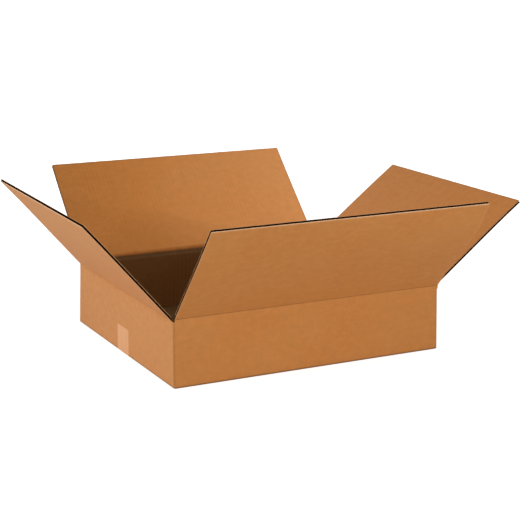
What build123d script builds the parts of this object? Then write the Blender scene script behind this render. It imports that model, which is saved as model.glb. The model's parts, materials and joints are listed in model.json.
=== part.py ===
from build123d import *

from dataclasses import dataclass
from math import ceil, hypot
import os

os.makedirs("parts", exist_ok=True)

# Shallow slotted carton folded from one sheet of corrugated board. It stands open on its taped
# bottom, with its four top flaps leaning outwards. X runs along the front wall, Y from the front
# wall to the back wall, and the origin is the middle of the base.

# Corrugated board, in millimetres
board = 4.0
liner = 0.4
medium = 0.35
flute_pitch = 7.8
flute_crest = 1.8

# Box
inside_length = 457.2
inside_width = 406.4
long_wall_height = 108.0
corner_radius = 3.5
bend_radius = 3.0
layer_gap = 0.3
seam_gap = 1.0
side_wall_lift = 0.3
side_foot_radius = 1.2

# Scores that the flaps fold on: the board is crushed to a thin web at the hinge line
score_reach = 5.8
score_web = 0.8
hinge_gap = 0.15
flute_margin = 2.0

# Slots between neighbouring flaps, as the distance from the box's corner to each flap's end
front_left_slot = 2.4
front_right_slot = 0.2
back_left_slot = 3.7
back_right_slot = 6.3
left_near_slot = 6.8
left_far_slot = 6.8
right_near_slot = 8.4
right_far_slot = 9.2
bottom_short_slot = 6.8

# How far each top flap leans outwards from upright, in degrees
front_lean_angle = 40.0
back_lean_angle = 46.0
left_lean_angle = 41.0
right_lean_angle = 52.5

# Glued joint at the back right corner
joint_tab_width = 35.0
joint_tab_slope = 5.0
joint_tab_clearance = 2.0

# Carton tape along the bottom seam and up both short walls
tape_width = 48.0
tape_thickness = 0.06
tape_rise = 44.0

# Sizes that follow
outer_length = inside_length + 2 * board
outer_width = inside_width + 2 * board
short_wall_height = long_wall_height - board - layer_gap
flap_reach = (outer_width - seam_gap) / 2
inner_flap_level = board + layer_gap
inner_floor = inner_flap_level + board
tape_radius = side_wall_lift + side_foot_radius - tape_thickness


@dataclass(frozen=True)
class Panel:
    """One wall with the flap above it and the flap below it."""

    name: str
    plane: Plane  # local x runs inwards from the outer face, local y upwards, z along the wall
    wall_length: float
    wall_height: float
    wall_foot: float
    foot_radius: float
    bottom_level: float
    bottom_slot: float
    top_slots: tuple  # at the wall's low z end and at its high z end
    lean_angle: float

    @property
    def hinge(self):
        """Plane at the middle of the hinge line: local x through the flap, local y up it."""
        middle = (self.top_slots[0] - self.top_slots[1]) / 2
        fold = Location((0, self.wall_height, middle), (0, 0, self.lean_angle))
        return Plane(self.plane.location * fold)

    @property
    def flap_length(self):
        """Length of the top flap along its hinge line."""
        return self.wall_length - sum(self.top_slots)


def long_side(name, end, top_slots, lean_angle):
    """Front (end -1) or back (end 1), whose flaps lie outside the others when closed."""
    plane = Plane(origin=(0, end * outer_width / 2, 0), x_dir=(0, -end, 0), z_dir=(-end, 0, 0))
    bottom_slot = board + layer_gap
    return Panel(
        name,
        plane,
        outer_length,
        long_wall_height,
        0,
        bend_radius,
        0,
        bottom_slot,
        top_slots,
        lean_angle,
    )


def short_side(name, end, top_slots, lean_angle):
    """Left (end -1) or right (end 1), whose flaps lie inside the others when closed."""
    plane = Plane(origin=(end * outer_length / 2, 0, 0), x_dir=(-end, 0, 0), z_dir=(0, end, 0))
    return Panel(
        name,
        plane,
        outer_width,
        short_wall_height,
        side_wall_lift,
        side_foot_radius,
        inner_flap_level,
        bottom_short_slot,
        top_slots,
        lean_angle,
    )


sides = [
    long_side("front", -1, (front_left_slot, front_right_slot), front_lean_angle),
    long_side("back", 1, (back_right_slot, back_left_slot), back_lean_angle),
    short_side("left", -1, (left_far_slot, left_near_slot), left_lean_angle),
    short_side("right", 1, (right_near_slot, right_far_slot), right_lean_angle),
]


# Section of one flute channel, wide at one facing and narrow at the other
slope_rise = board - 2 * liner - medium
slope_run = flute_pitch / 2 - flute_crest
slope_half_width = medium / 2 * hypot(slope_run, slope_rise) / slope_rise
wide_half = flute_crest / 2 + slope_run * (slope_rise + medium / 2) / slope_rise - slope_half_width
narrow_half = flute_crest / 2 + slope_run * (medium / 2) / slope_rise - slope_half_width
channel_top = board - liner
channel_foot = liner + medium

inner_channel = [
    (-wide_half, channel_top),
    (-narrow_half, channel_foot),
    (narrow_half, channel_foot),
    (wide_half, channel_top),
]
outer_channel = [(x, board - y) for x, y in inner_channel]


def flute_channels(free_edge, edge_length):
    """Sketch the open flutes across a flap's free edge. Those at the ends open to the side too."""
    count = ceil(edge_length / flute_pitch) + 1
    with BuildSketch(free_edge) as channels:
        with GridLocations(flute_pitch, board, count, 1):
            Polygon(*inner_channel, align=None)
        with GridLocations(flute_pitch, board, count + 1, 1):
            Polygon(*outer_channel, align=None)
        with Locations((0, board / 2)):
            Rectangle(edge_length, board, mode=Mode.INTERSECT)
    return channels.sketch


# Box body: four walls, the glued joint and the four taped bottom flaps, all one folded sheet
with BuildPart() as box_body:
    for side in sides:
        with BuildSketch(side.plane) as wall_section:
            with BuildLine():
                Polyline(
                    (0, side.wall_foot),
                    (board, side.wall_foot),
                    (board, side.wall_height - score_reach),
                    (score_web, side.wall_height - hinge_gap - score_web),
                    (0, side.wall_height - hinge_gap),
                    close=True,
                )
            make_face()
            outer_foot = wall_section.vertices().sort_by_distance((0, side.wall_foot))[0]
            fillet(outer_foot, radius=side.foot_radius)
        extrude(amount=side.wall_length / 2, both=True)

        with BuildSketch(side.plane):
            with Locations((board, side.bottom_level)):
                Rectangle(flap_reach - board, board, align=(Align.MIN, Align.MIN))
        extrude(amount=side.wall_length / 2 - side.bottom_slot, both=True)

    # Vertical folds: three bent corners, and the cut edge of the board at the glued corner
    with BuildSketch() as footprint:
        Rectangle(outer_length, outer_width)
        bent_corners = footprint.vertices().sort_by(Axis((0, 0, 0), (1, 1, 0)))[:-1]
        fillet(bent_corners, radius=corner_radius)
    extrude(amount=long_wall_height, mode=Mode.INTERSECT)

    # The back wall bends into the tab behind the right wall's cut edge, which leaves a groove
    joint_x = outer_length / 2 - board
    joint_y = outer_width / 2
    with BuildSketch() as joint_groove:
        with Locations((joint_x, joint_y)):
            Rectangle(corner_radius, corner_radius, align=(Align.MAX, Align.MAX))
        with Locations((joint_x - corner_radius, joint_y - corner_radius)):
            Circle(corner_radius, mode=Mode.SUBTRACT)
    extrude(amount=long_wall_height, mode=Mode.SUBTRACT)

    # Tab glued to the inside of the right wall, with sloped ends
    tab_foot = inner_floor + joint_tab_clearance
    tab_top = short_wall_height - max(board, score_reach) - joint_tab_clearance
    tab_root = inside_width / 2
    tab_end = tab_root - joint_tab_width
    with BuildSketch(Plane.YZ.offset(inside_length / 2 - board)):
        with BuildLine():
            Polyline(
                (tab_root, tab_foot),
                (tab_root, tab_top),
                (tab_end, tab_top - joint_tab_slope),
                (tab_end, tab_foot + joint_tab_slope),
                close=True,
            )
        make_face()
    extrude(amount=board)

    # The tape is pressed flush into the outer bottom flaps
    with BuildSketch():
        Rectangle(outer_length, tape_width)
    extrude(amount=tape_thickness, mode=Mode.SUBTRACT)

box_body.part.label = "box_body"
export_step(box_body.part, "parts/box_body.step")


# Top flaps: each is scored at its root and shows its open flutes along the free edge
for side in sides:
    with BuildPart() as flap:
        with BuildSketch(side.hinge):
            with BuildLine():
                Polyline(
                    (0, hinge_gap),
                    (score_web, hinge_gap + score_web),
                    (board, score_reach),
                    (board, flap_reach),
                    (0, flap_reach),
                    close=True,
                )
            make_face()
        extrude(amount=side.flap_length / 2, both=True)

        free_edge = Plane(
            origin=side.hinge.from_local_coords((0, flap_reach, 0)),
            x_dir=side.hinge.z_dir,
            z_dir=side.hinge.y_dir,
        )
        extrude(
            flute_channels(free_edge, side.flap_length),
            amount=-(flap_reach - score_reach - flute_margin),
            mode=Mode.SUBTRACT,
        )

    flap.part.label = f"{side.name}_flap"
    export_step(flap.part, f"parts/{side.name}_flap.step")


# Carton tape: one strip under the bottom seam, turned up on both short walls
with BuildPart() as sealing_tape:
    with BuildSketch(Plane.XZ):
        with BuildLine():
            FilletPolyline(
                (-outer_length / 2, tape_rise),
                (-outer_length / 2, tape_thickness),
                (outer_length / 2, tape_thickness),
                (outer_length / 2, tape_rise),
                radius=tape_radius,
            )
            offset(amount=tape_thickness, side=Side.RIGHT)
        make_face()
    extrude(amount=tape_width / 2, both=True)

sealing_tape.part.label = "sealing_tape"
export_step(sealing_tape.part, "parts/sealing_tape.step")
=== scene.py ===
"""Looks of a shallow corrugated carton that stands open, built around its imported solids.

The carton is one folded sheet of board. Every board piece carries sheet coordinates, a UV map in metres
whose U runs round the walls and whose V runs up the sheet, so the paper's grain passes over the folds.
Through the board, w runs from 0 at the outer facing to the board's thickness at the inner one.
"""

import sys
import json
import logging
import math
from collections.abc import Callable
from dataclasses import dataclass, field, replace
from enum import Enum

import bpy
import numpy as np
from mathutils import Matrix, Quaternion, Vector


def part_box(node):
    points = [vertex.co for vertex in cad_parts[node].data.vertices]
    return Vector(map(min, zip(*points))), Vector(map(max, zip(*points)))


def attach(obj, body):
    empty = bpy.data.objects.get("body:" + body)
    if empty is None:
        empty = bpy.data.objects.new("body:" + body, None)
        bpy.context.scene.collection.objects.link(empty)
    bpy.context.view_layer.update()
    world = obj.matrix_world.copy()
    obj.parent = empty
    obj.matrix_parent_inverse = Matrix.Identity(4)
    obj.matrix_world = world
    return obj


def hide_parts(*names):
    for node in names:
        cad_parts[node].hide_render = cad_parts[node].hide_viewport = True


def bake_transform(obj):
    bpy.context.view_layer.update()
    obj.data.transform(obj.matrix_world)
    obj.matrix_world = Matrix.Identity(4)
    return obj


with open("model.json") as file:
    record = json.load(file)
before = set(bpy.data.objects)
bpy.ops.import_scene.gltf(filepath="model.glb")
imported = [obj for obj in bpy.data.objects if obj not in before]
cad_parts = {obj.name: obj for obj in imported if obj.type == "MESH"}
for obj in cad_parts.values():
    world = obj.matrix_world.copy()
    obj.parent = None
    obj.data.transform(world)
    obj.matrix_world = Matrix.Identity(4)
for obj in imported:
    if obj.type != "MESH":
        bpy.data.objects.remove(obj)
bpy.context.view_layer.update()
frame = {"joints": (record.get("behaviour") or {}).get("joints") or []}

log = logging.getLogger("carton")

Array = np.ndarray
Colour = tuple[float, float, float, float]
Socket = bpy.types.NodeSocket
Placer = Callable[[Array, Array, Array], Array]
UP = np.array((0.0, 0.0, 1.0))
WALLS = ("right", "front", "left", "back")
WHITE = (1.0, 1.0, 1.0, 1.0)
SHEET_UV = "sheet"
CUT_DRIFT = 0.03  # how far a cut along the flutes wanders over them, for each metre
INSIDE_SHIFT = 3.0  # places the inner facing's grain away from the outer one's


def linear(red: int, green: int, blue: int) -> Colour:
    """Turn a display colour, with channels from 0 to 255, into the linear one that shaders take."""
    shares = [channel / 255 for channel in (red, green, blue)]
    return (*[c / 12.92 if c <= 0.04045 else ((c + 0.055) / 1.055) ** 2.4 for c in shares], 1.0)


def point_rows(*coordinates: Array) -> Array:
    """Spread coordinates against each other and give one row for each point."""
    return np.column_stack([np.ravel(x) for x in np.broadcast_arrays(*coordinates)])


def smooth_step(x: Array) -> Array:
    """Ease from 0 at x = 0 to 1 at x = 1."""
    t = np.clip(x, 0.0, 1.0)
    return t * t * (3 - 2 * t)


def bell(distance: Array, width: float) -> Array:
    """Return 1 at no distance, falling off smoothly over the width."""
    return np.exp(-((distance / width) ** 2))


def stations(low: float, high: float, phase: float, step: float, gaps: tuple[float, ...]) -> Array:
    """List positions from low to high in even steps, with closer ones at both ends.

    Args:
        low: First position.
        high: Last position.
        phase: A position that the even steps pass through.
        step: Length of the even steps.
        gaps: Distances of the closer positions from each end.

    Returns:
        The positions in order.
    """
    reach = max(gaps) + step / 2
    first = math.ceil((low + reach - phase) / step)
    last = math.floor((high - reach - phase) / step)
    even = phase + step * np.arange(first, last + 1)
    near = [low, *(low + gap for gap in gaps)]
    far = [*(high - gap for gap in reversed(gaps)), high]
    return np.concatenate((near, even, far))


@dataclass(frozen=True)
class Board:
    """Single-wall corrugated board."""

    thickness: float = 0.004
    facing: float = 0.0004
    medium: float = 0.00035
    pitch: float = 0.0078
    outside_relief: float = 0.00004
    inside_relief: float = 0.00007
    end_gaps: tuple[float, ...] = (0.0003, 0.0008, 0.0015)  # extra positions, from a panel's ends

    def outside(self, s: Array) -> Array:
        """Place the outer facing through the board: it sinks a little between the flutes' tips."""
        return self.outside_relief * (1 - np.cos(2 * np.pi * s / self.pitch)) / 2

    def inside(self, s: Array) -> Array:
        """Place the inner facing through the board in the same way."""
        return self.thickness - self.inside_relief * (1 + np.cos(2 * np.pi * s / self.pitch)) / 2

    def swing(self) -> float:
        """Say how far the medium swings to each side of the board's middle."""
        return (self.thickness - 2 * self.facing - self.medium) / 2

    def columns(self, low: float, high: float, sheet_u: float) -> Array:
        """List positions along a panel, four to a flute; sheet_u is the sheet's U at position 0."""
        return stations(low, high, -sheet_u, self.pitch / 4, self.end_gaps)


BOARD = Board()


class Surface(Enum):
    """Kind of face on a board piece, which gives its finish and its place on the UV map."""

    OUTSIDE = 0
    INSIDE = 1
    # faces in the carton's well, which take the painted-shade copy of the inner kraft
    WELL = 2
    HIDDEN = 3
    CUT_ACROSS = 4
    CUT_ALONG = 5


def vertex_places(mesh: bpy.types.Mesh) -> Array:
    """Read the places of a mesh's points, one row each."""
    flat = np.empty(len(mesh.vertices) * 3)
    mesh.vertices.foreach_get("co", flat)
    return flat.reshape(-1, 3)


def corner_points(mesh: bpy.types.Mesh) -> Array:
    """Number the point at each corner of a mesh's faces."""
    numbers = np.empty(len(mesh.loops), dtype=np.int32)
    mesh.loops.foreach_get("vertex_index", numbers)
    return numbers


def map_and_shade(mesh: bpy.types.Mesh, places: Array, sharp_angle: float) -> None:
    """Give a mesh its UV map, and shade it smooth but for its sharp edges.

    Args:
        mesh: The mesh.
        places: Place of each face corner on the map, one row each.
        sharp_angle: Angle in degrees from which an edge is sharp.
    """
    uv = mesh.uv_layers.new(name=SHEET_UV)
    uv.data.foreach_set("uv", places.ravel())
    mesh.polygons.foreach_set("use_smooth", [True] * len(mesh.polygons))
    mesh.set_sharp_from_angle(angle=math.radians(sharp_angle))


def linked(name: str, data: bpy.types.ID) -> bpy.types.Object:
    """Make an object of a mesh, a lamp or a camera at the origin, and put it in the scene."""
    made = bpy.data.objects.new(name, data)
    bpy.context.scene.collection.objects.link(made)
    return made


class Graph:
    """Adds and joins the nodes of one node tree."""

    def __init__(self, tree: bpy.types.NodeTree) -> None:
        """Keep the tree."""
        self.tree = tree

    def feed(self, socket: Socket, value: object) -> None:
        """Link a socket to another one, or set its value.

        Args:
            socket: Input socket to feed.
            value: An output socket, or a plain value.
        """
        if isinstance(value, bpy.types.NodeSocket):
            self.tree.links.new(value, socket)
        else:
            socket.default_value = value

    def add(self, kind: str, inputs: dict | None = None, **settings: object) -> bpy.types.Node:
        """Add a node.

        Args:
            kind: Blender's identifier of the node type.
            inputs: Values or sockets by input name or number.
            **settings: Properties of the node itself.

        Returns:
            The new node.
        """
        node = self.tree.nodes.new(kind)
        for name, value in settings.items():
            setattr(node, name, value)
        for name, value in (inputs or {}).items():
            self.feed(node.inputs[name], value)
        return node

    def math(self, operation: str, *values: object) -> Socket:
        """Add a math node with Blender's name of its operation, and return its result's socket."""
        return self.add("ShaderNodeMath", dict(enumerate(values)), operation=operation).outputs[0]

    def mix(self, share: object, first: object, second: object) -> Socket:
        """Mix two colours, with this share of the second, and return the mixed colour's socket."""
        return self.add("ShaderNodeMix", {0: share, 6: first, 7: second}, data_type="RGBA").outputs[2]

    def scaled(self, colour: Socket, tone: Socket) -> Socket:
        """Make a colour lighter or darker by a tone, or a vector longer or shorter."""
        inputs = {0: colour, "Scale": tone}
        return self.add("ShaderNodeVectorMath", inputs, operation="SCALE").outputs[0]

    def sheet(self) -> Socket:
        """Return the piece's sheet coordinates."""
        return self.add("ShaderNodeUVMap", uv_map=SHEET_UV).outputs[0]

    def attribute(self, name: str) -> Socket:
        """Return a value that the piece's points carry."""
        return self.add("ShaderNodeAttribute", attribute_name=name).outputs["Fac"]

    def noise(self, vector: Socket, scale: float, detail: float = 2.0, rough: float = 0.5) -> Socket:
        """Return a noise value about 0.5, with so many features and finer layers of such a strength."""
        inputs = {"Vector": vector, "Scale": scale, "Detail": detail, "Roughness": rough}
        return self.add("ShaderNodeTexNoise", inputs).outputs["Fac"]

    def grain(
        self, sheet: Socket, scale: tuple[float, float], detail: float, rough: float = 0.5
    ) -> Socket:
        """Return a noise value about 0.5, stretched on the sheet.

        Args:
            sheet: Sheet coordinates.
            scale: Features for each metre, along the walls and up the sheet.
            detail: How many finer layers it has.
            rough: How strong the finer layers are.

        Returns:
            The value's socket.
        """
        inputs = {0: sheet, 1: (*scale, 1.0)}
        stretched = self.add("ShaderNodeVectorMath", inputs, operation="MULTIPLY").outputs[0]
        return self.noise(stretched, 1.0, detail, rough)

    def surface(
        self,
        colour: Socket,
        roughness: object,
        gloss: float,
        height: Socket,
        relief: tuple[float, float],
        alpha: float = 1.0,
    ) -> Socket:
        """Add a rough surface with a fine relief.

        Args:
            colour: Its colour.
            roughness: How rough it is.
            gloss: How strongly it reflects.
            height: The relief's pattern.
            relief: The relief's strength and its height in metres.
            alpha: How much of it covers what lies under it.

        Returns:
            The surface's socket.
        """
        inputs = {"Height": height, "Strength": relief[0], "Distance": relief[1]}
        normal = self.add("ShaderNodeBump", inputs).outputs[0]
        inputs = {
            "Base Color": colour,
            "Roughness": roughness,
            "Specular IOR Level": gloss,
            "Normal": normal,
            "Alpha": alpha,
        }
        return self.add("ShaderNodeBsdfPrincipled", inputs).outputs[0]

    def ramp(self, value: Socket, low: float, high: float) -> Socket:
        """Spread the values between low and high over 0 to 1, clamped."""
        inputs = {"Value": value, "From Min": low, "From Max": high}
        return self.add("ShaderNodeMapRange", inputs, clamp=True).outputs[0]

    def seen_directly(self) -> Socket:
        """Tell rays that show the surroundings, by eye or through gloss or film, from those that light.

        Returns:
            A socket that is 1 for the rays that show them and 0 for the others.
        """
        paths = self.add("ShaderNodeLightPath").outputs
        seen = self.math("MAXIMUM", paths["Is Camera Ray"], paths["Is Glossy Ray"])
        return self.math("MAXIMUM", seen, paths["Is Transmission Ray"])

    def about_zero(self, value: Socket, amount: float) -> Socket:
        """Move a value about 0.5 to about 0 and scale it."""
        return self.math("MULTIPLY", self.math("SUBTRACT", value, 0.5), amount)


@dataclass(frozen=True)
class Finish:
    """What every finish has in common."""

    name: str

    def material(self) -> bpy.types.Material:
        """Build the material once, and return the same one afterwards."""
        found = bpy.data.materials.get(self.name)
        if found:
            return found
        made = bpy.data.materials.new(self.name)
        made.use_nodes = True
        made.node_tree.nodes.clear()
        graph = Graph(made.node_tree)
        shader = self.shader(graph)
        graph.add("ShaderNodeOutputMaterial", {"Surface": shader})
        return made

    def shader(self, graph: Graph) -> Socket:
        """Add this finish's nodes and return the surface's socket."""
        raise NotImplementedError


@dataclass(frozen=True)
class Kraft(Finish):
    """Brown kraft facing, with a cloudy tone, long fibres, dark flecks and faint lines over flutes."""

    colour: Colour
    warm: Colour
    line_tone: float
    # colour of worn paper, which painted sheen and painted light also turn the paper towards
    scuffed_and_painted_light: Colour = linear(240, 202, 164)
    roughness: float = 0.75
    gloss: float = 0.35
    cloud_tone: float = 0.14
    blotch_tone: float = 0.28
    fibre_tone: float = 0.30
    strand_tone: float = 0.10
    fleck_tone: float = 0.16
    # how much crushed paper and painted shade darken it
    crush_and_painted_shade_tone: float = 0.42
    painted_light_share: float = 0.35  # how far painted light turns the paper to the colour of worn paper
    cloud_scale: float = 9.0  # scales are in features for each metre, along the walls and up the sheet
    blotch_scale: tuple[float, float] = (70.0, 95.0)
    fibre_scale: tuple[float, float] = (260.0, 1150.0)
    strand_scale: tuple[float, float] = (90.0, 620.0)
    fleck_scale: tuple[float, float] = (480.0, 900.0)
    patch_scale: tuple[float, float] = (14.0, 5.0)  # of the patches in which the flutes show
    relief: tuple[float, float] = (0.35, 0.00025)  # strength, and height in metres

    def shader(self, graph: Graph) -> Socket:
        """Add the kraft paper's nodes.

        Args:
            graph: The material's graph.

        Returns:
            The surface's socket.
        """
        sheet = graph.sheet()
        clouds = graph.noise(sheet, self.cloud_scale, 3.0)
        blotches = graph.grain(sheet, self.blotch_scale, 3.0, 0.6)
        fibres = graph.grain(sheet, self.fibre_scale, 4.0, 0.65)
        strands = graph.grain(sheet, self.strand_scale, 2.0)
        flecks = graph.ramp(graph.grain(sheet, self.fleck_scale, 1.0), 0.70, 0.78)
        along = graph.add("ShaderNodeSeparateXYZ", {0: sheet}).outputs[0]
        lines = graph.math("SINE", graph.math("MULTIPLY", along, 2 * math.pi / BOARD.pitch))
        patches = graph.grain(sheet, self.patch_scale, 2.0)
        lines = graph.math("MULTIPLY", lines, graph.ramp(patches, 0.40, 0.66))
        # darkening by crushed scores and by painted shade in creases, along cut edges, at folds and at
        # the feet
        crush_and_painted_shade = graph.attribute("crush_and_painted_shade")
        # painted light and shade: the paper is painted lighter where this is positive and darker where
        # it is negative
        bleach = graph.attribute("bleach")

        tone = 1.0
        patterns = (
            (clouds, self.cloud_tone),
            (blotches, self.blotch_tone),
            (fibres, self.fibre_tone),
            (strands, self.strand_tone),
        )
        for pattern, amount in patterns:
            tone = graph.math("ADD", tone, graph.about_zero(pattern, amount))
        tone = graph.math("ADD", tone, graph.math("MULTIPLY", lines, self.line_tone))
        for mark, amount in ((flecks, self.fleck_tone), (crush_and_painted_shade, self.crush_and_painted_shade_tone)):
            tone = graph.math("SUBTRACT", tone, graph.math("MULTIPLY", mark, amount))
        tone = graph.math("ADD", tone, bleach)

        paper = graph.mix(graph.ramp(clouds, 0.35, 0.65), self.colour, self.warm)
        # worn paper, painted sheen and painted highlights turn the paper paler
        rubbed = graph.math("MULTIPLY", graph.attribute("wear_and_painted_sheen"), graph.ramp(fibres, 0.20, 0.50))
        # painted light turns the paper paler, towards the colour of worn paper
        pale = graph.math("MULTIPLY", graph.math("MAXIMUM", bleach, 0.0), self.painted_light_share)
        paper = graph.mix(graph.math("MAXIMUM", rubbed, pale), paper, self.scuffed_and_painted_light)
        height = graph.math("ADD", fibres, graph.math("MULTIPLY", blotches, 0.6))
        paper = graph.scaled(paper, tone)
        return graph.surface(paper, self.roughness, self.gloss, height, self.relief)


@dataclass(frozen=True)
class CutEdge(Finish):
    """Cut board seen end on: two pale facings with the fluted medium's line between gaps that are
    painted dark as shade in the flutes' hollows.
    """

    facing_colour: Colour
    medium_colour: Colour
    gap_colour: Colour
    roughness: float = 0.95
    gloss: float = 0.02
    fibre_scale: float = 2400.0
    relief: tuple[float, float] = (0.5, 0.0002)

    def shader(self, graph: Graph) -> Socket:
        """Add the cut edge's nodes.

        Args:
            graph: The material's graph.

        Returns:
            The surface's socket.
        """
        sheet = graph.sheet()
        parts = graph.add("ShaderNodeSeparateXYZ", {0: sheet}).outputs
        middle = BOARD.thickness / 2
        from_middle = graph.math("SUBTRACT", parts[1], middle)
        off_middle = graph.math("ABSOLUTE", from_middle)
        in_facing = graph.math("GREATER_THAN", off_middle, middle - BOARD.facing)
        wave = graph.math("COSINE", graph.math("MULTIPLY", parts[0], 2 * math.pi / BOARD.pitch))
        off_medium = graph.math("ADD", from_middle, graph.math("MULTIPLY", wave, BOARD.swing()))
        in_medium = graph.math("LESS_THAN", graph.math("ABSOLUTE", off_medium), BOARD.medium)
        fibres = graph.noise(sheet, self.fibre_scale, 3.0, 0.6)
        colour = graph.mix(in_medium, self.gap_colour, self.medium_colour)
        colour = graph.mix(in_facing, colour, self.facing_colour)
        tone = graph.math("ADD", 1.0, graph.about_zero(fibres, 0.5))
        colour = graph.scaled(colour, tone)
        return graph.surface(colour, self.roughness, self.gloss, fibres, self.relief)


@dataclass(frozen=True)
class FlutedPaper(Finish):
    """The medium between the facings: thinner, rougher and darker paper than the kraft, painted darker
    still as shade in the flutes' hollows.
    """

    colour: Colour
    deep: Colour
    roughness: float = 0.95
    gloss: float = 0.02
    fibre_scale: tuple[float, float] = (400.0, 900.0)
    relief: tuple[float, float] = (0.4, 0.0002)

    def shader(self, graph: Graph) -> Socket:
        """Add the medium's nodes.

        Args:
            graph: The material's graph.

        Returns:
            The surface's socket.
        """
        sheet = graph.sheet()
        fibres = graph.grain(sheet, self.fibre_scale, 3.0, 0.6)
        colour = graph.mix(graph.ramp(fibres, 0.3, 0.7), self.deep, self.colour)
        return graph.surface(colour, self.roughness, self.gloss, fibres, self.relief)


@dataclass(frozen=True)
class TapeFilm(Finish):
    """Buff carton tape: a thin film with fine lines along it, which lets a little kraft through."""

    colour: Colour
    streak: Colour
    alpha: float
    roughness: float = 0.5
    gloss: float = 0.12
    streak_scale: tuple[float, float] = (12.0, 520.0)
    patch_scale: float = 60.0
    relief: tuple[float, float] = (0.3, 0.0004)

    def shader(self, graph: Graph) -> Socket:
        """Add the tape's nodes.

        Args:
            graph: The material's graph.

        Returns:
            The surface's socket.
        """
        sheet = graph.sheet()
        streaks = graph.grain(sheet, self.streak_scale, 3.0, 0.6)
        patches = graph.noise(sheet, self.patch_scale, 3.0, 0.6)
        colour = graph.mix(graph.ramp(streaks, 0.35, 0.75), self.colour, self.streak)
        tone = graph.math("ADD", 1.0, graph.about_zero(patches, 0.14))
        colour = graph.scaled(colour, tone)
        roughness = graph.math("ADD", self.roughness, graph.about_zero(patches, 0.25))
        return graph.surface(colour, roughness, self.gloss, patches, self.relief, self.alpha)


@dataclass(frozen=True)
class StudioFloor(Finish):
    """White floor that stays near white for the camera and still shows the carton's soft shadow."""

    colour: Colour
    seen_colour: Colour
    near_level: float = 0.84
    far_level: float = 1.0
    near_radius: float = 0.35
    far_radius: float = 1.3

    def shader(self, graph: Graph) -> Socket:
        """Add the floor's nodes.

        Args:
            graph: The material's graph.

        Returns:
            The surface's socket.
        """
        seen = graph.seen_directly()
        place = graph.add("ShaderNodeTexCoord").outputs["Object"]
        radius = graph.add("ShaderNodeVectorMath", {0: place}, operation="LENGTH").outputs["Value"]
        far = graph.ramp(radius, self.near_radius, self.far_radius)
        rise = graph.math("MULTIPLY", far, self.far_level - self.near_level)
        level = graph.math("MULTIPLY", seen, graph.math("ADD", rise, self.near_level))
        white = graph.add("ShaderNodeEmission", {"Strength": level}).outputs[0]
        colour = graph.mix(seen, self.colour, self.seen_colour)
        matt = graph.add("ShaderNodeBsdfDiffuse", {"Color": colour}).outputs[0]
        return graph.add("ShaderNodeAddShader", {0: matt, 1: white}).outputs[0]


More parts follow.
